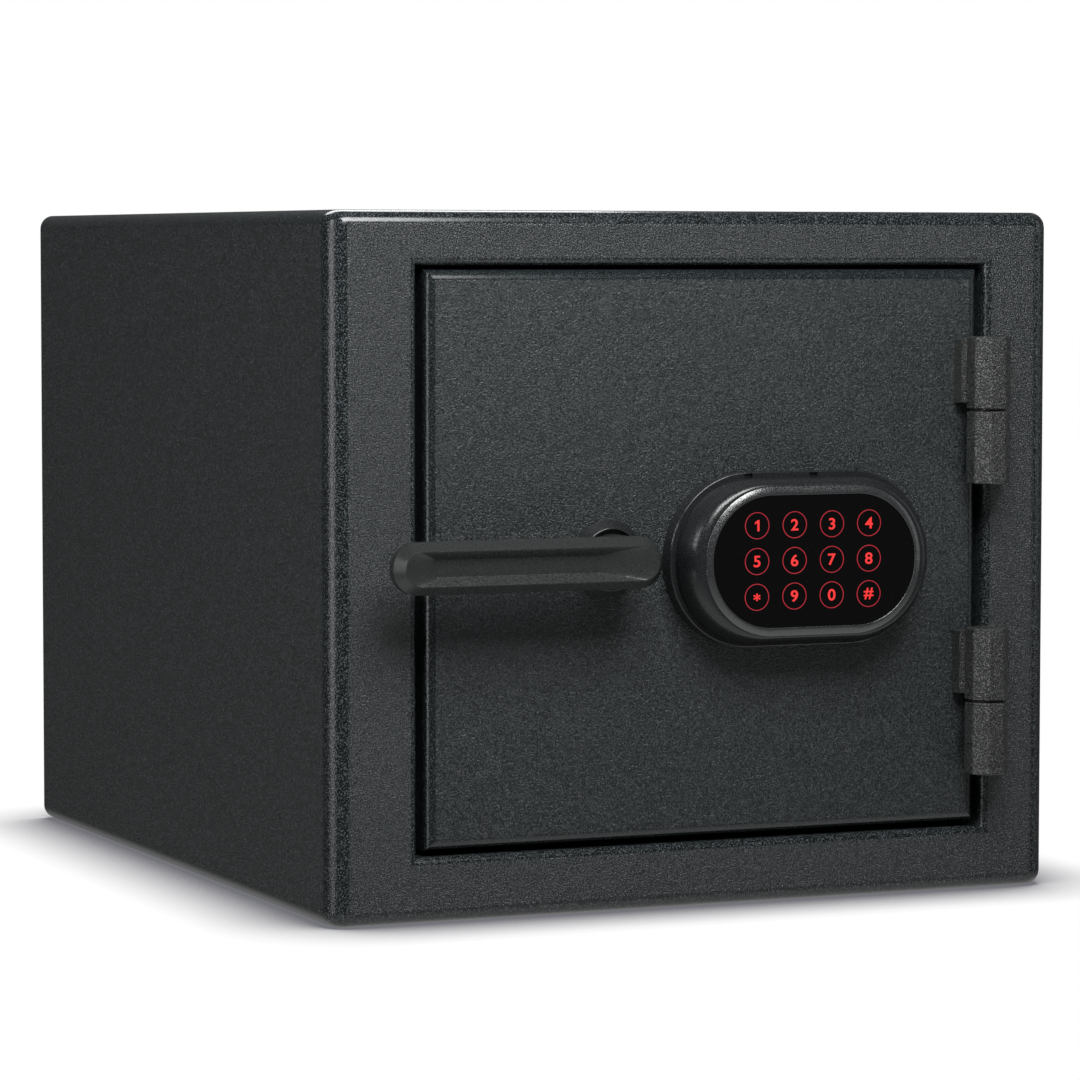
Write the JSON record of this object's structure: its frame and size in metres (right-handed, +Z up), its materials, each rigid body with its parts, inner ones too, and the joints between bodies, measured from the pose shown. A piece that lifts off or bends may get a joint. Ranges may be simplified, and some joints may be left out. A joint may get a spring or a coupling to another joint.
{
  "type": "fire-resistant electronic safe",
  "caption": "Small fire-resistant safe with a right-hinged steel door, lever handle, touch keypad, sliding bolts and one shelf.",
  "frame": {"origin": "centre of the cabinet's footprint, on the floor; the footprint is the cabinet alone, without what stands proud of the door", "axes": "+X to the right seen from the front, +Y from the front to the back, +Z up"},
  "size_m": [0.394, 0.498, 0.345],
  "materials": {
    "cabinet_paint": "dark charcoal textured powder coat",
    "door_paint": "dark charcoal fine-textured powder coat",
    "hinge_paint": "coarse textured powder coat",
    "lever_paint": "matte black fine-textured coat",
    "liner_paint": "smooth light grey enamel",
    "insulation": "porous cast insulation",
    "bare_steel": "cold-rolled",
    "hard_steel": "hardened, dark",
    "bright_steel": "ground bright",
    "zinc_steel": "zinc plated",
    "bronze": "plain bearing metal",
    "washer_nylon": "black bearing plastic",
    "seal_rubber": "matte",
    "keypad_shell": "dark fine-textured coat over a die casting",
    "bezel_metal": "satin",
    "touch_gloss": "gloss black with red lit markings",
    "circuit_board": "solder mask",
    "battery_jacket": "printed sleeve",
    "cable_sheath": "satin",
    "coil_wrap": "taped winding"
  },
  "bodies": {
    "cabinet": {"outer_casing": "cabinet_paint", "back_panel": "cabinet_paint", "door_jamb": "cabinet_paint", "inner_liner": "liner_paint", "body_insulation": "insulation", "strike_plate": "bare_steel", "bolt_pocket": "bare_steel", "anchor_sleeves": "bare_steel", "shelf": "liner_paint", "shelf_brackets": "liner_paint", "frame_knuckles": "hinge_paint", "hinge_pins": "bright_steel", "hinge_washers": "washer_nylon"},
    "door": {"door_panel": "door_paint", "door_insulation": "insulation", "hard_plate": "hard_steel", "lock_plate": "bare_steel", "door_seal": "seal_rubber", "door_inner_cover": "liner_paint", "cover_screws": "zinc_steel", "door_knuckles": "hinge_paint", "dead_bolts": "bright_steel", "dead_bolt_brackets": "bare_steel", "bolt_guide": "bare_steel", "guide_post": "bright_steel", "spindle_bush": "bright_steel", "cable_conduit": "bright_steel", "handle_rosette": "lever_paint", "keypad_base": "keypad_shell", "keypad_gasket": "seal_rubber", "keypad_housing": "keypad_shell", "keypad_bezel": "bezel_metal", "touch_panel": "touch_gloss", "keypad_board": "circuit_board", "battery_tray": "keypad_shell", "battery_cells": "battery_jacket", "keypad_screws": "zinc_steel", "keypad_cable": "cable_sheath", "control_board": "circuit_board", "board_standoffs": "bronze", "solenoid_coil": "coil_wrap", "solenoid_bracket": "bare_steel", "solenoid_screw": "zinc_steel"},
    "handle": {"lever": "lever_paint", "grub_screw": "zinc_steel", "spindle": "bright_steel", "retaining_clip": "bright_steel", "drive_cam": "bare_steel", "drive_pin": "bright_steel"},
    "bolt_carriage": {"bolt_bar": "bare_steel", "locking_bolts": "bright_steel", "bolt_screws": "zinc_steel"},
    "plunger": {"solenoid_plunger": "bright_steel", "plunger_spring": "bright_steel"}
  },
  "joints": [
    {"name": "door_hinge", "type": "hinge", "parent": "cabinet", "child": "door", "pos_m": [0.1545, -0.2424, 0.1718], "axis": [0, 0, 1], "range_deg": [0, 160]},
    {"name": "handle_turn", "type": "hinge", "parent": "door", "child": "handle", "pos_m": [-0.0516, -0.231, 0.1749], "axis": [0, 1, 0], "range_deg": [0, 60]},
    {"name": "bolt_slide", "type": "slide", "parent": "door", "child": "bolt_carriage", "axis": [-1, 0, 0], "range_m": [0, 0.02001]},
    {"name": "plunger_slide", "type": "slide", "parent": "door", "child": "plunger", "axis": [0, 0, 1], "range_m": [0, 0.006], "deforming": ["plunger_spring"]}
  ],
  "couplings": [
    {"joint": "bolt_slide", "follows": "handle_turn", "m_per_rad": 0.019099}
  ]
}
